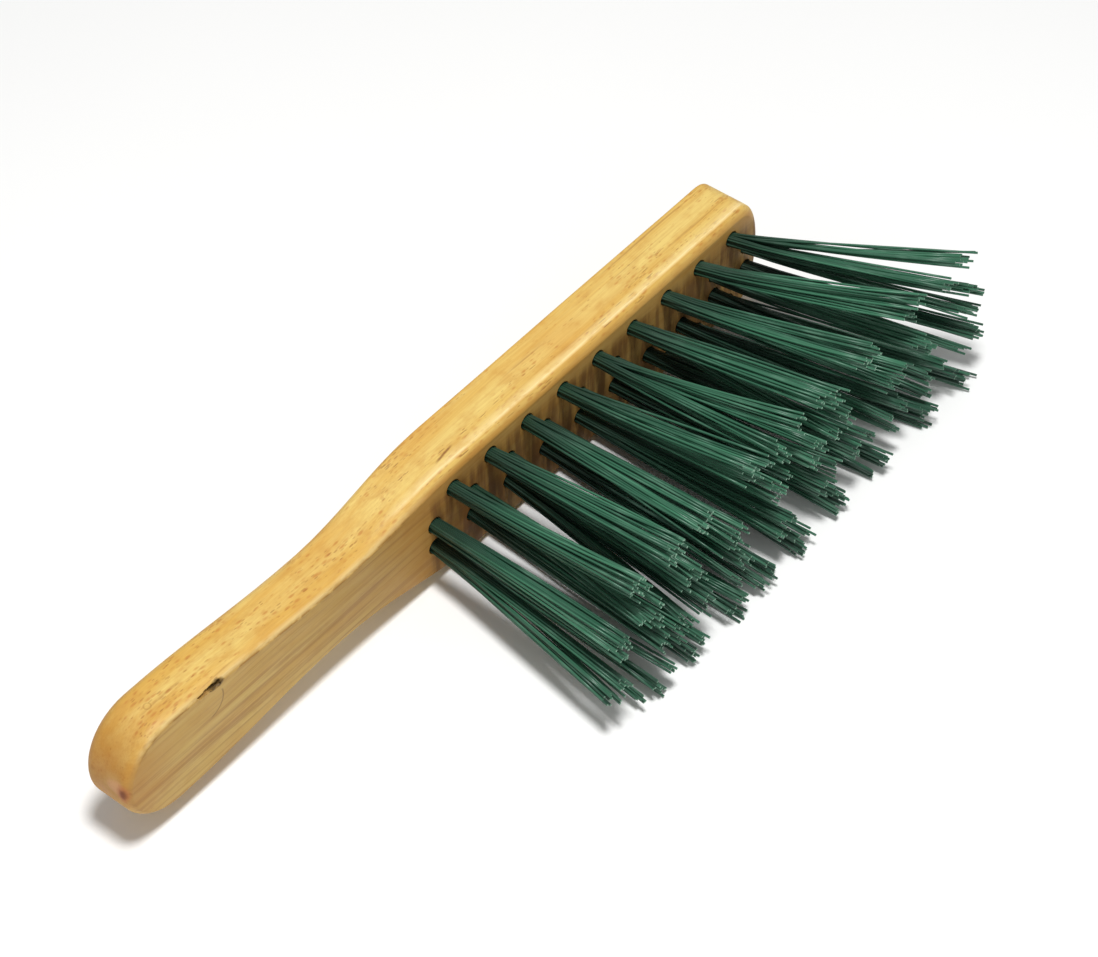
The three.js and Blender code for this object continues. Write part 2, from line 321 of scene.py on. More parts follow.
# Painted shade towards the holes: its share and its colour
ROOT_PAINTED_SHADE = (0.78, (16, 36, 27))
ROOT_PAINTED_SHADE_SPAN = (-34 * MM, 2 * MM)  # Y from the face
RAGGED_ROOT_PAINTED_SHADE = ((150, 60, 150), 12 * MM)
SCRATCH_SCALE = (2600, 160, 2600)
SCRATCH_DEPTH = 0.02 * MM
PLASTIC_LEVELS = (0.3, 0.7)
PLASTIC_ROUGHNESS = (0.3, 0.46)
PLASTIC_SPECULAR = 0.5
CUT_SCALE = (3000, 3000, 3000)
CUT_LEVELS = (0.3, 0.7)
CUT_DARK = (92, 140, 114)
CUT_PALE = (150, 188, 162)
CUT_DEPTH = 0.03 * MM
CUT_ROUGHNESS = 0.6

# Staple wire
WIRE_SCALE = (120, 5200, 5200)
WIRE_LEVELS = (0.3, 0.7)
WIRE_DARK = (150, 148, 142)
WIRE_BRIGHT = (206, 204, 198)
WIRE_DEPTH = 0.02 * MM
WIRE_ROUGHNESS = (0.26, 0.42)

# Floor
PAPER_SCALE = (3, 3, 3)
PAPER_DARK = (243, 243, 242)
PAPER_PALE = (248, 248, 247)
PAPER_ROUGHNESS = 0.9
PAPER_SPECULAR = 0.1


# ---------------------------------------------------------------- materials

class Shading:
    """A material's node tree. Its calls add nodes and return their output sockets."""

    def __init__(self, name):
        self.material = bpy.data.materials.new(name)
        self.material.use_nodes = True
        self.tree = self.material.node_tree
        self.surface = self.tree.nodes["Principled BSDF"]
        self.place = self.add("ShaderNodeTexCoord")["Object"]

    def feed(self, socket, value):
        if isinstance(value, bpy.types.NodeSocket):
            self.tree.links.new(value, socket)
        else:
            socket.default_value = value

    def add(self, kind, inputs=None, **settings):
        made = self.tree.nodes.new(kind)
        for key, value in settings.items():
            setattr(made, key, value)
        for key, value in (inputs or {}).items():
            self.feed(made.inputs[key], value)
        return made.outputs

    def set(self, **sockets):
        """Sets the surface shader's own sockets; an underscore in a name stands for a space."""
        for key, value in sockets.items():
            self.feed(self.surface.inputs[key.replace("_", " ")], value)

    def math(self, operation, a, b=0.0):
        return self.add("ShaderNodeMath", {0: a, 1: b}, operation=operation)[0]

    def vector(self, operation, a, b=(0, 0, 0)):
        return self.add("ShaderNodeVectorMath", {0: a, 1: b}, operation=operation)

    def noise(self, scale, detail=3.0, roughness=0.55, place=None):
        """Noise from 0 to 1, with the scale's number of waves per metre along X, Y and Z."""
        inputs = {"Vector": self.stretched(scale, place), "Scale": 1.0}
        inputs.update({"Detail": detail, "Roughness": roughness})
        return self.add("ShaderNodeTexNoise", inputs)["Fac"]

    def stretched(self, scale, place=None):
        inputs = {"Vector": place or self.place, "Scale": scale}
        return self.add("ShaderNodeMapping", inputs)["Vector"]

    def axes(self):
        """The shaded point's X, Y and Z."""
        parts = self.add("ShaderNodeSeparateXYZ", {"Vector": self.place})
        return parts["X"], parts["Y"], parts["Z"]

    def band(self, value, low, high, to_low=0.0, to_high=1.0):
        """value mapped smoothly from low..high to to_low..to_high, and held outside them."""
        inputs = {"Value": value, "From Min": low, "From Max": high}
        inputs.update({"To Min": to_low, "To Max": to_high})
        return self.add("ShaderNodeMapRange", inputs, interpolation_type="SMOOTHSTEP")["Result"]

    def mix(self, share, a, b):
        made = self.tree.nodes.new("ShaderNodeMix")
        made.data_type = "RGBA"
        colours = [s for s in made.inputs if s.type == "RGBA"]
        self.feed(made.inputs["Factor"], share)
        self.feed(colours[0], a)
        self.feed(colours[1], b)
        return next(s for s in made.outputs if s.type == "RGBA")

    def both(self, *shares):
        """The product of several shares."""
        product = shares[0]
        for share in shares[1:]:
            product = self.math("MULTIPLY", product, share)
        return product

    def field(self, tone, place=None):
        """The noise that lays a tone."""
        return self.noise(tone.scale, tone.detail, tone.roughness, place)

    def lay(self, base, tone, field, *masks):
        """The base with a tone laid over it where its field and all the masks are high."""
        share = self.both(self.band(field, *tone.levels, *tone.shares), *masks)
        return self.mix(share, base, colour(tone.colour))

    def tint(self, base, paint, *masks):
        """The base with an even tint over it, where all the masks are high."""
        share, tinted = paint
        return self.mix(self.both(*masks, share), base, colour(tinted))

    def blot(self, base, closeness, paint):
        """The base with a tone over it inside an oval."""
        levels, share, blotted = paint
        return self.mix(self.band(closeness, *levels, 0.0, share), base, colour(blotted))

    def oval(self, centre, half_sizes):
        """How far the shaded point is from a centre, as 1 on an oval of the given half-sizes."""
        off = self.vector("SUBTRACT", self.place, centre)["Vector"]
        unit = self.vector("DIVIDE", off, half_sizes)["Vector"]
        return self.vector("LENGTH", unit)["Value"]

    def distance(self, point):
        """How far the shaded point is from a given point, in metres."""
        return self.vector("DISTANCE", self.place, point)["Value"]

    def away(self, value, level):
        """How far a value is from a level, either way."""
        return self.math("ABSOLUTE", self.math("SUBTRACT", value, level))

    def wobble(self, scale, size):
        """Noise from 0 to the given size."""
        return self.math("MULTIPLY", self.noise(scale), size)

    def ragged(self, value, wobbling):
        """A value made uneven by a noise of a given scale and size."""
        return self.math("ADD", value, self.wobble(*wobbling))

    def attribute(self, name):
        return self.add("ShaderNodeAttribute", attribute_name=name)["Fac"]

    def bump(self, height, depth, normal=None):
        inputs = {"Height": height, "Distance": depth, "Strength": 1.0}
        if normal is not None:
            inputs["Normal"] = normal
        return self.add("ShaderNodeBump", inputs)["Normal"]


def colour(display_values):
    """A colour given in display values from 0 to 255, as the linear one that the nodes take."""
    def linear(value):
        share = value / 255
        return share / 12.92 if share <= 0.04045 else ((share + 0.055) / 1.055) ** 2.4
    red, green, blue = display_values
    return (linear(red), linear(green), linear(blue), 1.0)


class WoodShading(Shading):
    """The wood's node tree, with the places and masks that its layers share."""

    def __init__(self, name):
        super().__init__(name)
        self.x, self.y, self.z = self.axes()
        self.grain = self.wandering_grain()
        self.depth = self.depth_behind_face()
        self.on_handle = self.along_stock(*HANDLE_SPAN)
        self.on_head = self.band(self.on_handle, 1.0, 0.2)
        self.crowding = self.noise(PORE_CROWDING_SCALE)

    def wandering_grain(self):
        """The shaded point, moved across the grain as far as the grain wanders there."""
        drift = self.noise(DRIFT_SCALE, detail=2.0)
        shift = self.math("MULTIPLY", self.math("SUBTRACT", drift, 0.5), DRIFT_SIZE)
        offset = self.add("ShaderNodeCombineXYZ", {"Y": shift, "Z": shift})["Vector"]
        return self.vector("ADD", self.place, offset)["Vector"]

    def depth_behind_face(self):
        """How far the shaded point is behind the bristle side, which falls back along the handle."""
        behind = self.math("SUBTRACT", FALL_START_X, self.x)
        slope = HANDLE_FALL / (FALL_START_X - stock_low.x)
        fall = self.math("MULTIPLY", self.math("MAXIMUM", behind, 0.0), slope)
        return self.math("SUBTRACT", self.math("SUBTRACT", self.y, stock_low.y), fall)

    def along_stock(self, start, end):
        """0 to 1 between two distances from the palm's end."""
        return self.band(self.x, stock_low.x + start, stock_low.x + end)

    def pores(self, kind):
        """How strongly each point is marked by pores, some of them fainter than others."""
        cells = {"Vector": self.stretched(kind.scale, self.grain), "Scale": 1.0, "Randomness": 1.0}
        found = self.add("ShaderNodeTexVoronoi", cells)
        chance = self.add("ShaderNodeSeparateColor", {"Color": found["Color"]})
        limit = self.band(self.crowding, *kind.crowding, *kind.reach)
        reach = self.both(self.math("LESS_THAN", chance["Red"], kind.kept), limit)
        mark = self.band(self.math("SUBTRACT", reach, found["Distance"]), 0.0, kind.softness)
        return self.both(mark, self.band(chance["Green"], 0.0, 1.0, FAINTEST_PORE, 1.0))


def wood_material():
    """Straight-grained pale wood under a golden varnish, with short brown pores."""
    wood = WoodShading("varnished_wood")
    off_face = wood.band(wood.depth, *HEAD_FACE_DEPTHS, 1.0, PORES_ON_FACE)
    fibres = wood.field(FIBRES, wood.grain)
    spots, dots = wood.pores(SOFT_SPOTS), wood.pores(DOTS)
    dashes = wood.both(wood.pores(DASHES), wood.on_head, off_face, DASHES.share)

    base = grain_tones(wood, fibres)
    base = wood.tint(base, (SOFT_SPOTS.share, SOFT_SPOTS.colour), spots, off_face)
    base = wood.tint(base, (DOTS.share, DOTS.colour), dots, off_face)
    base = wood.lay(base, MINERAL_STREAKS, wood.field(MINERAL_STREAKS, wood.grain))
    base = wood.mix(dashes, base, colour(DASHES.colour))
    base = handle_tones(wood, base)
    base = head_face_tones(wood, base)
    base = edge_wear_and_highlights(wood, base)
    base = stain_streak(wood, base)
    base = palm_ring(wood, base)
    base = knot(wood, base)
    base, flaw = crack(wood, base)
    base = chip_grime(wood, base)

    sunk = wood.math("MAXIMUM", wood.math("MAXIMUM", dashes, wood.both(dots, DOTS.share)), flaw)
    height = wood.math("SUBTRACT", wood.math("MULTIPLY", fibres, FIBRE_HEIGHT), sunk)
    normal = wood.bump(height, PORE_DEPTH)
    normal = wood.bump(wood.noise(RIPPLE_SCALE), RIPPLE_DEPTH, normal)
    gloss = wood.noise(GLOSS_SCALE, detail=4.0)
    wood.set(Base_Color=base, Normal=normal, Coat_Weight=VARNISH, Coat_Roughness=VARNISH_ROUGHNESS)
    wood.set(Roughness=wood.band(gloss, *GLOSS_LEVELS, *WOOD_ROUGHNESS))
    wood.set(Specular_IOR_Level=WOOD_SPECULAR)
    return wood.material


def grain_tones(wood, fibres):
    """The wandering bands of the grain, amber patches, a fine mottle and the fibres."""
    base = wood.lay(colour(PALE_GRAIN), GRAIN_BANDS, wood.field(GRAIN_BANDS, wood.grain))
    base = wood.lay(base, AMBER_PATCHES, wood.field(AMBER_PATCHES))
    base = wood.lay(base, BROWN_MOTTLE, wood.field(BROWN_MOTTLE))
    return wood.lay(base, FIBRES, fibres)


def handle_tones(wood, base):
    """The handle's flat side is greyer, with darker grain lines and a browner tone towards the
    head. The rounded end of the palm grip is a deeper orange."""
    flat = wood.band(wood.depth, *HANDLE_FACE_DEPTHS)
    before_head = wood.along_stock(*BEFORE_HEAD_SPAN)
    near_neck = wood.along_stock(*NEAR_NECK_SPAN)
    base = wood.tint(base, HANDLE_GREY, flat, wood.on_handle)
    lines = wood.field(PLANED_LINES, wood.grain)
    base = wood.lay(base, PLANED_LINES, lines, flat, before_head)
    base = wood.tint(base, NECK_BROWN, flat, before_head, near_neck)
    on_palm = wood.band(wood.distance(PALM_MIDDLE), *PALM_TONE_SPAN)
    return wood.tint(base, PALM_ORANGE, on_palm)


def head_face_tones(wood, base):
    """The head's bristle face is browner, with streaks of painted shadow across the grain among the
    tuft holes, stronger lower down.
    """
    on_face = wood.both(wood.band(wood.depth, *HEAD_FACE_DEPTHS), wood.on_head)
    base = wood.tint(base, FACE_BROWN, on_face)
    below_edge = wood.band(wood.z, *SHADOW_STREAK_HEIGHTS)
    among_holes = wood.band(wood.x, *SHADOW_STREAK_SPAN)
    # Painted shadow streaks below the tufts, stronger lower down the face
    return wood.lay(base, SHADOW_STREAKS, wood.field(SHADOW_STREAKS), on_face, below_edge, among_holes)


def edge_wear_and_highlights(wood, base):
    """A painted highlight where the head's upper side turns, and on the upper edge of the handle a
    painted highlight on the ridge above a rough brown line that fades out round the end of the palm
    grip."""
    uneven = wood.field(HEAD_EDGE_HIGHLIGHT)
    # Painted highlight along the head's upper edge
    base = wood.lay(base, HEAD_EDGE_HIGHLIGHT, uneven, wood.attribute("upper_crease"), wood.on_head)
    upper_edge = wood.both(
        wood.on_handle, wood.band(wood.z, *CREASE_HEIGHTS), wood.along_stock(*CREASE_SPAN)
    )
    # Painted highlight along the ridge of the handle's upper edge
    base = wood.lay(base, RIDGE_HIGHLIGHT, uneven, wood.attribute("front_ridge"), upper_edge)
    broken = wood.field(ROUGH_CREASE)
    return wood.lay(base, ROUGH_CREASE, broken, wood.attribute("front_crease"), upper_edge)


def stain_streak(wood, base):
    """A dark streak on the head's upper side."""
    slant = wood.math("MULTIPLY", wood.x, STREAK_SLANT)
    middle = wood.math("ADD", slant, stock_low.y + STREAK_FROM_FACE)
    aside = wood.ragged(wood.away(wood.y, middle), RAGGED_STREAK)
    below_top, near_top = STREAK_BELOW_TOP
    return wood.tint(
        base,
        STREAK_BROWN,
        wood.band(aside, *STREAK_HALF_WIDTHS),
        wood.band(wood.x, *STREAK_START),
        wood.band(wood.x, *STREAK_END),
        wood.band(wood.z, stock_high.z - below_top, stock_high.z - near_top),
    )


def palm_ring(wood, base):
    """A faint ring on the palm grip."""
    from_ring = wood.away(wood.distance(RING_PLACE), RING_RADIUS)
    return wood.tint(base, RING_BROWN, wood.band(from_ring, *RING_HALF_WIDTHS))


def knot(wood, base):
    """A small reddish knot on the rounded end of the palm grip."""
    near_halo = wood.ragged(wood.oval(*KNOT_HALO), RAGGED_KNOT)
    near_core = wood.ragged(wood.oval(*KNOT_CORE), RAGGED_KNOT)
    base = wood.blot(base, near_halo, KNOT_BLUSH)
    base = wood.blot(base, near_core, KNOT_RED)
    return wood.blot(base, near_core, KNOT_HEART)


def crack(wood, base):
    """A fine curved crack on the bristle side of the palm grip, and where it is."""
    middle = CRACK_MIDDLE
    line = wood.both(
        wood.band(wood.away(wood.distance(middle), CRACK_RADIUS), *CRACK_HALF_WIDTHS),
        wood.band(wood.x, *(middle.x + along for along in CRACK_ALONG)),
        wood.band(wood.z, *(middle.z + above for above in CRACK_ABOVE)),
        wood.band(wood.y, *(middle.y + depth for depth in CRACK_DEPTHS)),
    )
    return wood.tint(base, CRACK_BROWN, line), line


def chip_grime(wood, base):
    """Grime in the chip: brown along the split and nearly black in its deep end."""
    near_split = wood.ragged(wood.oval(*SPLIT_GRIME), RAGGED_GRIME)
    near_core = wood.ragged(wood.oval(*CORE_GRIME), RAGGED_GRIME)
    base = wood.blot(base, near_split, SPLIT_BROWN)
    return wood.blot(base, near_core, CORE_DARK)


def filament_material():
    """Extruded green plastic, a little darker or lighter from one filament to the next, with painted
    shade darker on the lower rows and towards the holes."""
    plastic = Shading("green_filament")
    wear = plastic.field(PLASTIC_WEAR)
    # The shade attribute holds each filament's own tone, lowered on the lower rows as painted shade
    base = plastic.mix(plastic.attribute("shade"), colour(DARK_GREEN), colour(PALE_GREEN))
    base = plastic.lay(base, PLASTIC_WEAR, wear)
    # Painted shade, darker towards the holes
    start, end = ROOT_PAINTED_SHADE_SPAN
    _, across, _ = plastic.axes()
    ragged = plastic.ragged(across, RAGGED_ROOT_PAINTED_SHADE)
    near_face = plastic.band(ragged, stock_low.y + start, stock_low.y + end)
    base = plastic.tint(base, ROOT_PAINTED_SHADE, near_face)
    scratches = plastic.noise(SCRATCH_SCALE, detail=2.0)
    plastic.set(Base_Color=base, Normal=plastic.bump(scratches, SCRATCH_DEPTH))
    plastic.set(Roughness=plastic.band(wear, *PLASTIC_LEVELS, *PLASTIC_ROUGHNESS))
    plastic.set(Specular_IOR_Level=PLASTIC_SPECULAR)
    return plastic.material


def cut_end_material():
    """The trimmed end of a filament: paler and rough."""
    plastic = Shading("filament_cut_end")
    grit = plastic.noise(CUT_SCALE, detail=2.0)
    base = plastic.mix(plastic.band(grit, *CUT_LEVELS), colour(CUT_DARK), colour(CUT_PALE))
    plastic.set(Base_Color=base, Roughness=CUT_ROUGHNESS, Normal=plastic.bump(grit, CUT_DEPTH))
    return plastic.material


def wire_material():
    """Bright flat staple wire with drawing lines along it."""
    wire = Shading("anchor_wire")
    lines = wire.noise(WIRE_SCALE)
    base = wire.mix(wire.band(lines, *WIRE_LEVELS), colour(WIRE_DARK), colour(WIRE_BRIGHT))
    wire.set(Base_Color=base, Metallic=1.0, Normal=wire.bump(lines, WIRE_DEPTH))
    wire.set(Roughness=wire.band(lines, *WIRE_LEVELS, *WIRE_ROUGHNESS))
    return wire.material


def floor_material():
    paper = Shading("floor")
    tone = paper.noise(PAPER_SCALE, detail=2.0)
    base = paper.mix(tone, colour(PAPER_DARK), colour(PAPER_PALE))
    paper.set(Base_Color=base, Roughness=PAPER_ROUGHNESS, Specular_IOR_Level=PAPER_SPECULAR)
    return paper.material


# ---------------------------------------------------------------- stock

def section_outline():
    """The stock's outline in X and Z, cut clear of its holes, as an ordered closed line."""
    cut = bmesh.new()
    cut.from_mesh(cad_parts[STOCK].data)
    bmesh.ops.remove_doubles(cut, verts=cut.verts, dist=WELD_DISTANCE)
    plane = (0, stock_high.y - SECTION_FROM_BACK, 0)
    everything = cut.verts[:] + cut.edges[:] + cut.faces[:]
    found = bmesh.ops.bisect_plane(cut, geom=everything, plane_co=plane, plane_no=(0, 1, 0))
    neighbours = {}
    for edge in found["geom_cut"]:
        if isinstance(edge, bmesh.types.BMEdge):
            a, b = edge.verts
            neighbours.setdefault(a, []).append(b)
            neighbours.setdefault(b, []).append(a)
    here = next(iter(neighbours))
    before, line = None, []
    while here is not None and (not line or here is not line[0]):
        line.append(here)
        ahead = [v for v in neighbours[here] if v is not before]
        before, here = here, ahead[0] if ahead else None
    points = np.array([(v.co.x, v.co.z) for v in line])
    cut.free()
    around = np.roll(points, -1, axis=0)
    area = np.sum(points[:, 0] * around[:, 1] - around[:, 0] * points[:, 1])
    return points if area > 0 else points[::-1]


def evenly(points, count):
    """count + 1 points at even distances along an open line, its two ends included."""
    steps = np.linalg.norm(np.diff(points, axis=0), axis=1)
    along = np.concatenate([[0], np.cumsum(steps)])
    wanted = np.linspace(0, along[-1], count + 1)
    return np.stack([np.interp(wanted, along, points[:, k]) for k in (0, 1)], axis=1)


def smoothed(points, step):
    """A closed line of even steps, run through a round filter."""
    count = len(points)
    frequency = np.fft.fftfreq(count)
    spread = OUTLINE_SMOOTHING / step
    weight = np.exp(-2 * (math.pi * frequency * spread) ** 2)[:, None]
    return np.real(np.fft.ifft(np.fft.fft(points, axis=0) * weight, axis=0))


def stock_outline():
    """Even points round the stock: the lower side from the palm's end to the head's end, and the
    upper side back. Point i of the lower side faces point -i of the upper side."""
    corners = section_outline()
    closed = np.vstack([corners, corners[:1]])
    even = evenly(closed, FINE_POINTS)
    step = np.linalg.norm(even[1] - even[0])
    line = smoothed(even[:-1], step)
    line = np.roll(line, -int(np.argmin(line[:, 0])), axis=0)
    head = int(np.argmax(line[:, 0]))
    lower = evenly(line[:head + 1], SIDE_POINTS)
    upper = evenly(np.vstack([line[head:], line[:1]]), SIDE_POINTS)
    return np.vstack([lower[:-1], upper[:-1]])


def along_handle(x, on_head, on_handle):
    """A size that changes over the neck from what it is on the head."""
    past_start = stock_high.x - x - EDGE_CHANGE_START
    share = np.clip(past_start / (EDGE_CHANGE_END - EDGE_CHANGE_START), 0, 1)
    return on_head + (on_handle - on_head) * share * share * (3 - 2 * share)


def handle_fall(x):
    """How far behind the head's face the bristle side is."""
    return HANDLE_FALL * np.clip((FALL_START_X - x) / (FALL_START_X - stock_low.x), 0, 1)


def edge_rings(outline, inward, width, height):
    """One rounded edge from the face to the side: each ring's plan and its depth from the face."""
    rings = [(width + CREASE_SUPPORT, 0 * height)]
    for share in np.linspace(0, 1, EDGE_STEPS + 1):
        angle = EDGE_START + share * (math.pi / 2 - EDGE_START)
        inset = (1 - math.sin(angle)) / (1 - math.sin(EDGE_START))
        depth = 1 - math.cos(angle) / math.cos(EDGE_START)
        rings.append((width * inset, height * depth))
    rings.append((0 * width, height + CREASE_SUPPORT))
    return [(outline + inward * inset[:, None], depth) for inset, depth in rings]


def stock_rings(outline):
    """Rings of points from the bristle face round both edges to the back."""
    x = outline[:, 0]
    along = np.roll(outline, -1, axis=0) - np.roll(outline, 1, axis=0)
    along /= np.linalg.norm(along, axis=1)[:, None]
    inward = np.stack([-along[:, 1], along[:, 0]], axis=1)
    front_inset = along_handle(x, HEAD_FRONT_EDGE, HANDLE_FRONT_INSET)
    front_depth = along_handle(x, HEAD_FRONT_EDGE, HANDLE_EDGE) - handle_fall(x)
    back_radius = along_handle(x, HEAD_BACK_EDGE, HANDLE_EDGE)
    front_edge = edge_rings(outline, inward, front_inset, front_depth)
    back_edge = edge_rings(outline, inward, back_radius, back_radius)
    face_y = stock_low.y + handle_fall(x)
    front = [np.column_stack([p[:, 0], face_y + d, p[:, 1]]) for p, d in front_edge]
    back = [np.column_stack([p[:, 0], stock_high.y - d, p[:, 1]]) for p, d in reversed(back_edge)]
    between = np.linspace(0, 1, SIDE_STEPS + 1)[1:-1]
    sides = [front[-1] + (back[0] - front[-1]) * share for share in between]
    return front + sides + back


def face_grid(shape, ring, flip):
    """Closes a ring with a grid of faces that runs from its lower side to its upper side."""
    count = len(ring)
    half = count // 2
    rows = [[ring[0]] * (FACE_STEPS + 1)]
    for i in range(1, half):
        a, b = ring[i], ring[count - i]
        between = [
            shape.verts.new(a.co.lerp(b.co, step / FACE_STEPS)) for step in range(1, FACE_STEPS)
        ]
        rows.append([a, *between, b])
    rows.append([ring[half]] * (FACE_STEPS + 1))
    for left, right in zip(rows, rows[1:]):
        for step in range(FACE_STEPS):
            corners = [left[step], right[step], right[step + 1], left[step + 1]]
            corners = list(dict.fromkeys(corners))
            shape.faces.new(corners[::-1] if flip else corners)


def sanded(shape):
    """Moves the surface in and out by a hair, as hand sanding leaves it, but not below the
    surface that the brush lies on."""
    shape.normal_update()
    moves = []
    for vertex in shape.verts:
        lift = noise.noise(vertex.co / SANDING_LENGTH) * SANDING_DEPTH
        moves.append(vertex.normal * lift)
    for vertex, move in zip(shape.verts, moves):
        vertex.co += move
        vertex.co.z = max(vertex.co.z, cad_box[0].z)


def mesh_object(name, shape):
    mesh = bpy.data.meshes.new(name)
    shape.to_mesh(mesh)
    shape.free()
    made = bpy.data.objects.new(name, mesh)
    bpy.context.scene.collection.objects.link(made)
    return made


def mark_rings(shape, rings):
    """Writes the wear marks and painted highlights into the points, where the wood's material reads
    them.
    """
    for name, shares in RING_MARKS.items():
        layer = shape.verts.layers.float[name]
        for step, share in shares.items():
            for vertex in rings[step]:
                vertex[layer] = share


def stock_body():
    shape = bmesh.new()
    for name in RING_MARKS:
        shape.verts.layers.float.new(name)
    rings = [[shape.verts.new(p) for p in ring] for ring in stock_rings(stock_outline())]
    mark_rings(shape, rings)
    for ahead, behind in zip(rings, rings[1:]):
        for i in range(len(ahead)):
            j = (i + 1) % len(ahead)
            shape.faces.new([ahead[i], behind[i], behind[j], ahead[j]])
    face_grid(shape, rings[0], flip=False)
    face_grid(shape, rings[-1], flip=True)
    sanded(shape)
    return mesh_object("stock", shape)


def hole_drills(tufts):
    """The drills of all the tuft holes, as one mesh of separate round bars."""
    length = HOLE_DEPTH + DRILL_OVERRUN
    middle_y = stock_low.y - DRILL_OVERRUN + length / 2
    shape = bmesh.new()
    for tuft in tufts:
        root = tuft["root"]
        place = Matrix.Translation((root.x, middle_y, root.z))
        bmesh.ops.create_cone(
            shape, cap_ends=True, segments=HOLE_SIDES, radius1=HOLE_RADIUS, radius2=HOLE_RADIUS,
            depth=length, matrix=place @ Matrix.Rotation(math.pi / 2, 4, "X"),
        )
    return mesh_object("drills", shape)


def chip_cutter(place, size):
    """A ragged splinter shape that is taken out of the edge of the palm grip."""
    shape = bmesh.new()
    bmesh.ops.create_icosphere(shape, subdivisions=CHIP_SUBDIVISIONS, radius=1.0)
    for vertex in shape.verts:
        ragged = 1 + sum(share * noise.noise(vertex.co * fineness) for share, fineness in CHIP_SWELLS)
        vertex.co = Vector([a * b * ragged for a, b in zip(vertex.co, size)]) + place
    return mesh_object("chip", shape)


def cut_out(body, tool):
    cut = body.modifiers.new("cut", "BOOLEAN")
    cut.operation = "DIFFERENCE"
    cut.solver = "EXACT"
    cut.object = tool
    ready = body.evaluated_get(bpy.context.evaluated_depsgraph_get())
    mesh = bpy.data.meshes.new_from_object(ready)
    body.modifiers.clear()
    body.data = mesh
    bpy.data.objects.remove(tool)


def soft_and_sharp(body):
    """Smooth shading, broken at the edges that are really sharp."""
    shape = bmesh.new()
    shape.from_mesh(body.data)
    for face in shape.faces:
        face.smooth = True
    for edge in shape.edges:
        if len(edge.link_faces) == 2:
            edge.smooth = edge.calc_face_angle() < SHARP_ANGLE
    shape.to_mesh(body.data)
    shape.free()


def make_stock(tufts):
    body = stock_body()
    cut_out(body, hole_drills(tufts))
    cut_out(body, chip_cutter(CHIP_SPLIT, CHIP_SPLIT_SIZE))
    cut_out(body, chip_cutter(CHIP_CORE, CHIP_CORE_SIZE))
    soft_and_sharp(body)
    body.data.materials.clear()
    body.data.materials.append(wood_material())
    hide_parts(STOCK)
    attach(body, "root")


# ---------------------------------------------------------------- tufts

def read_tufts():
    """Where each CAD tuft leaves its hole and where its tips are, nearest the head's end first."""
    flat_sides = math.cos(math.pi / CAD_TUFT_SIDES)
    found = []
    for name in sorted(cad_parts):
        if not name.startswith("tuft_"):
            continue
        points = np.array([v.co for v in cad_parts[name].data.vertices])
        at_face = points[np.abs(points[:, 1] - stock_low.y) < SAME_LEVEL]
        at_tips = points[points[:, 1] < points[:, 1].min() + SAME_LEVEL]
        low, high = at_tips.min(axis=0), at_tips.max(axis=0)
        found.append({
            "name": name,
            "row": int(name.removeprefix("tuft_row").split("_")[0]),
            "root": Vector((at_face.min(axis=0) + at_face.max(axis=0)) / 2),
            "tip": Vector((low + high) / 2),
            "half_width": (high[0] - low[0]) / 2 / flat_sides,
            "half_height": (high[2] - low[2]) / 2 / flat_sides,
            "fold": points[:, 1].max(),
        })
    return found


def packed_places():
    """Where filaments stand in the upper half of a full hole, in units of its packed radius."""
    places = []
    line = 0
    height = PACKED_PITCH * math.sqrt(3) / 4
    while height < PACKED_RADIUS:
        x = -PACKED_RADIUS + (line % 2) * PACKED_PITCH / 2
        while x <= PACKED_RADIUS:
            if math.hypot(x, height) <= PACKED_RADIUS:
                places.append((x / PACKED_RADIUS, height / PACKED_RADIUS))
            x += PACKED_PITCH
        height += PACKED_PITCH * math.sqrt(3) / 2
        line += 1
    return places


def cluster_moves(chance):
    """Where the sub-bundles of a tuft stand among its filaments, and how far each one strays."""
    turn = chance.uniform(0, 2 * math.pi)
    clusters = []
    for k in range(CLUSTERS):
        angle = turn + 2 * math.pi * k / CLUSTERS + chance.uniform(-CLUSTER_TURN, CLUSTER_TURN)
        middle = Vector((math.cos(angle), math.sin(angle))) * chance.uniform(*CLUSTER_REACH)
        stray = Vector((chance.gauss(0, CLUSTER_WANDER), chance.gauss(0, CLUSTER_WANDER)))
        clusters.append((middle, stray, chance.gauss(0, CLUSTER_LENGTH_SPREAD)))
    return clusters


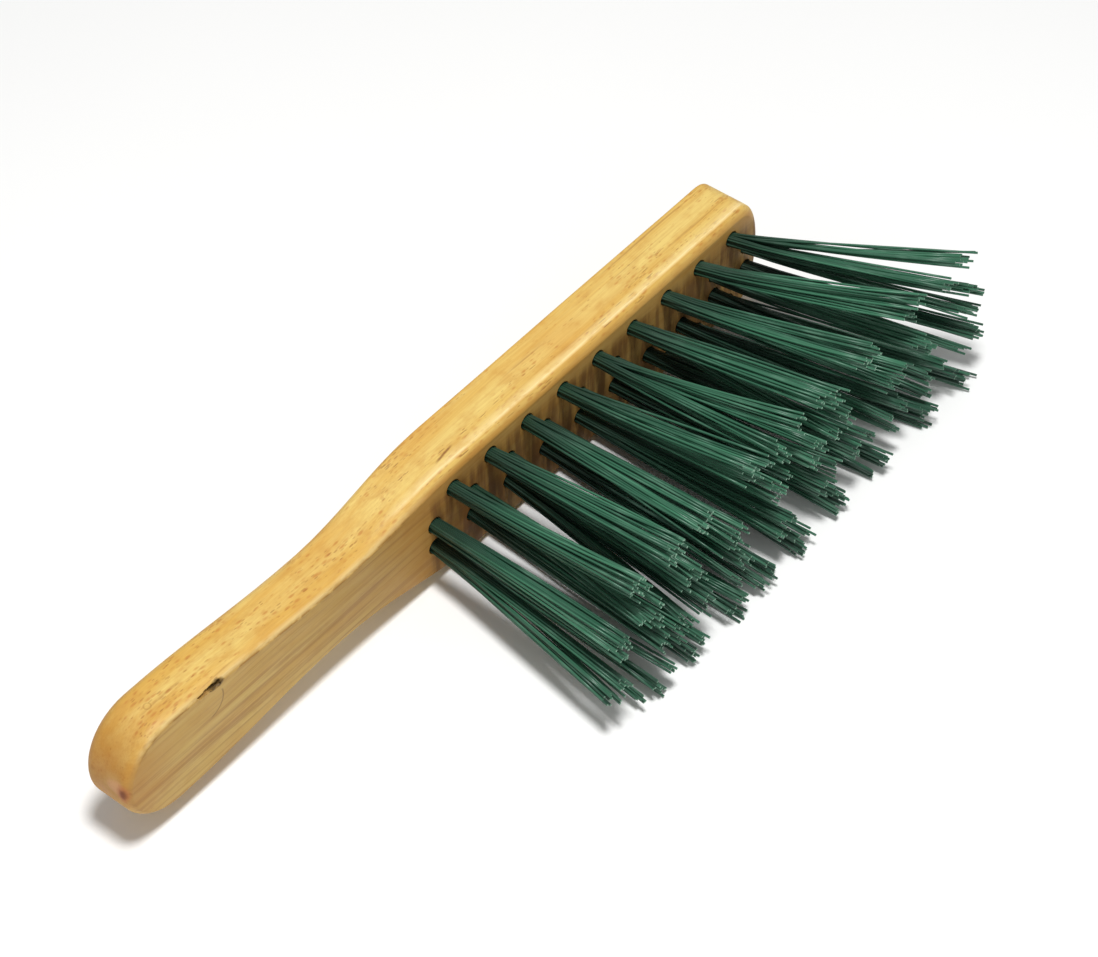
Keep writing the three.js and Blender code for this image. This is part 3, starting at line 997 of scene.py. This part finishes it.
def free_path(tuft, place, clusters, chance):
    """One filament's way from the face to its tip, face first."""
    where = Vector(place)
    middle, stray, extra = min(clusters, key=lambda c: (c[0] - where).length)
    end = where.lerp(middle + (where - middle) * CLUSTER_SIZE, CLUSTER_PULL) + stray
    end += Vector((chance.gauss(0, END_SCATTER), chance.gauss(0, END_SCATTER)))
    if chance.random() < STRAY_SHARE:
        end += where.normalized() * chance.uniform(*STRAY_REACH)
    bent_share, along, up = BENT_BUNDLES.get(tuft["name"], (0, (0, 0), (0, 0)))
    splay, spread = SPLAY_POWER, SPREAD_POWER
    if chance.random() < bent_share:
        end = Vector((chance.uniform(*along), chance.uniform(*up)))
        splay, spread = BENT_SPLAY_POWER, BENT_SPREAD_POWER
    start = Vector((place[0] * PACKED_RADIUS, 0, place[1] * PACKED_RADIUS))
    finish = Vector((end.x * tuft["half_width"], 0, end.y * tuft["half_height"]))
    lean = tuft["tip"] - tuft["root"]
    lean.y -= min(extra + chance.gauss(0, LENGTH_SPREAD), LONGEST_EXTRA)
    bow = Vector((chance.gauss(0, BOW), 0, chance.gauss(0, BOW)))
    lowest = cad_box[0].z + FILAMENT_RADIUS + FLOOR_CLEARANCE
    highest = cad_box[1].z - FILAMENT_RADIUS + TOP_LIMIT
    path = []
    for step in range(FREE_STEPS + 1):
        share = step / FREE_STEPS
        bent = share ** splay
        point = tuft["root"] + Vector((lean.x * bent, lean.y * share, lean.z * bent))
        point += start.lerp(finish, share ** spread) + bow * math.sin(math.pi * share)
        point.z = min(max(point.z, lowest), highest)
        path.append(point)
    return path


def folded_paths(tuft, chance):
    """Whole filaments: each runs from one tip into the hole, round the anchor and out again."""
    places = packed_places()
    clusters = cluster_moves(chance)
    wire_y = tuft["fold"] - ANCHOR_FROM_FOLD
    order = sorted(range(len(places)), key=lambda k: places[k][0])
    paths = []
    for rank, k in enumerate(order):
        x, z = places[k]
        layer = (rank + 1) % FOLD_LAYERS
        above_wire = FILAMENT_RADIUS * (FOLD_FIRST_LAYER + FOLD_LAYER_PITCH * layer)
        turn = ANCHOR_THICKNESS / 2 + above_wire
        across = tuft["root"].x + (rank / (len(order) - 1) - 0.5) * FOLD_ROOM
        up = free_path(tuft, (x, z), clusters, chance)
        down = free_path(tuft, (x, -z), clusters, chance)
        fold = []
        for step in range(FOLD_STEPS + 1):
            angle = math.pi * step / FOLD_STEPS
            y = wire_y + turn * math.sin(angle)
            fold.append(Vector((across, y, tuft["root"].z + turn * math.cos(angle))))
        inner_up = up[0].lerp(fold[0], 0.5)
        inner_down = down[0].lerp(fold[-1], 0.5)
        paths.append([*reversed(up), inner_up, *fold, inner_down, *down])
    return np.array(paths)


def tube_mesh(name, paths, shades):
    """Closed round tubes along paths that all have the same number of points. Their walls take
    the first material and their cut ends the second."""
    count, steps, _ = paths.shape
    ahead = np.gradient(paths, axis=1)
    ahead /= np.linalg.norm(ahead, axis=2)[:, :, None]
    side = np.cross(ahead, (1.0, 0.0, 0.0))
    side /= np.linalg.norm(side, axis=2)[:, :, None]
    other = np.cross(side, ahead)
    angles = np.arange(FILAMENT_SIDES) * 2 * math.pi / FILAMENT_SIDES
    round_it = side[:, :, None] * np.cos(angles)[:, None] + other[:, :, None] * np.sin(angles)[:, None]
    points = (paths[:, :, None] + round_it * FILAMENT_RADIUS).reshape(-1, 3)

    start = np.arange(count)[:, None, None] * steps * FILAMENT_SIDES
    ring = start + np.arange(steps - 1)[None, :, None] * FILAMENT_SIDES
    here = np.arange(FILAMENT_SIDES)[None, None, :]
    after = (here + 1) % FILAMENT_SIDES
    corners = (ring + here, ring + here + FILAMENT_SIDES, ring + after + FILAMENT_SIDES, ring + after)
    walls = np.stack(corners, axis=-1).reshape(-1, 4).tolist()
    first = (start[:, 0] + here[0]).tolist()
    last = (start[:, 0] + (steps - 1) * FILAMENT_SIDES + here[0][:, ::-1]).tolist()
    mesh = bpy.data.meshes.new(name)
    mesh.from_pydata(points.tolist(), [], walls + first + last)
    mesh.polygons.foreach_set("use_smooth", [True] * len(walls) + [False] * 2 * count)
    mesh.polygons.foreach_set("material_index", [0] * len(walls) + [1] * 2 * count)
    shade = mesh.attributes.new("shade", "FLOAT", "POINT")
    shade.data.foreach_set("value", np.repeat(shades, steps * FILAMENT_SIDES).astype(np.float32))
    mesh.update()
    return mesh


def make_filaments(tufts):
    plastic, cut_end = filament_material(), cut_end_material()
    for number, tuft in enumerate(tufts):
        chance = random.Random(FIRST_SEED + number)
        paths = folded_paths(tuft, chance)
        # Painted shade: each row's middle tone, darker for the lower rows
        middle = ROW_PAINTED_SHADES[tuft["row"]]
        shades = np.array([min(max(chance.gauss(middle, SHADE_SPREAD), 0), 1) for _ in paths])
        name = tuft["name"].replace("tuft", "filaments")
        tuft_piece = bpy.data.objects.new(name, tube_mesh(name, paths, shades))
        bpy.context.scene.collection.objects.link(tuft_piece)
        tuft_piece.data.materials.append(plastic)
        tuft_piece.data.materials.append(cut_end)
        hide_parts(tuft["name"])
        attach(tuft_piece, "root")


def make_anchors(tufts):
    """The flat-wire anchors, one piece for each row of holes."""
    wire = wire_material()
    for row in ROWS:
        shape = bmesh.new()
        for tuft in (t for t in tufts if t["row"] == row):
            middle_y = tuft["fold"] - ANCHOR_FROM_FOLD + ANCHOR_OVERLAP - ANCHOR_DEPTH / 2
            place = Matrix.Translation((tuft["root"].x, middle_y, tuft["root"].z))
            size = Matrix.Diagonal((ANCHOR_LENGTH, ANCHOR_DEPTH, ANCHOR_THICKNESS, 1))
            bmesh.ops.create_cube(shape, size=1.0, matrix=place @ size)
        bmesh.ops.bevel(
            shape, geom=shape.edges[:], offset=ANCHOR_BEVEL, segments=2, profile=0.5, affect="EDGES",
        )
        anchors = mesh_object(f"anchors_row{row}", shape)
        anchors.data.materials.append(wire)
        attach(anchors, "root")


# ---------------------------------------------------------------- studio

def make_camera():
    azimuth, elevation = math.radians(CAMERA_AZIMUTH), math.radians(CAMERA_ELEVATION)
    level = Vector((-math.sin(azimuth), math.cos(azimuth), 0))
    right = Vector((math.cos(azimuth), math.sin(azimuth), 0))
    forward = level * math.cos(elevation) - Vector((0, 0, math.sin(elevation)))
    up = right.cross(forward)
    middle = (cad_box[0] + cad_box[1]) / 2
    aim = middle + right * CAMERA_AIM_RIGHT + up * CAMERA_AIM_UP
    data = bpy.data.cameras.new("camera")
    data.lens = CAMERA_LENS
    data.sensor_width = CAMERA_SENSOR
    data.clip_start = CAMERA_CLIP_START
    data.clip_end = CAMERA_CLIP_END
    camera = bpy.data.objects.new("camera", data)
    camera.matrix_world = Matrix.Translation(aim - forward * CAMERA_DISTANCE) @ Matrix(
        (right, up, -forward)
    ).transposed().to_4x4()
    bpy.context.scene.collection.objects.link(camera)
    bpy.context.scene.camera = camera


def area_light(name, place, size, power):
    data = bpy.data.lights.new(name, "AREA")
    data.shape = "DISK"
    data.size = size
    data.energy = power
    light = bpy.data.objects.new(name, data)
    target = (cad_box[0] + cad_box[1]) / 2
    light.location = place
    light.rotation_euler = (target - Vector(place)).to_track_quat("-Z", "Y").to_euler()
    bpy.context.scene.collection.objects.link(light)


def make_studio():
    floor = bpy.data.meshes.new("floor")
    level = cad_box[0].z - FLOOR_GAP
    turns = ((-1, -1), (1, -1), (1, 1), (-1, 1))
    corners = [(x * FLOOR_HALF_SIZE, y * FLOOR_HALF_SIZE, level) for x, y in turns]
    floor.from_pydata(corners, [], [(0, 1, 2, 3)])
    sheet = bpy.data.objects.new("floor", floor)
    sheet.data.materials.append(floor_material())
    bpy.context.scene.collection.objects.link(sheet)
    area_light("key", *KEY_LIGHT)
    area_light("fill", *FILL_LIGHT)
    world = bpy.data.worlds.new("studio")
    world.use_nodes = True
    sky = world.node_tree.nodes["Background"]
    sky.inputs["Color"].default_value = (1, 1, 1, 1)
    sky.inputs["Strength"].default_value = SKY_STRENGTH
    bpy.context.scene.world = world
    bpy.context.scene.view_settings.view_transform = "Standard"


make_camera()
make_studio()
all_tufts = read_tufts()
make_stock(all_tufts)
make_filaments(all_tufts)
make_anchors(all_tufts)
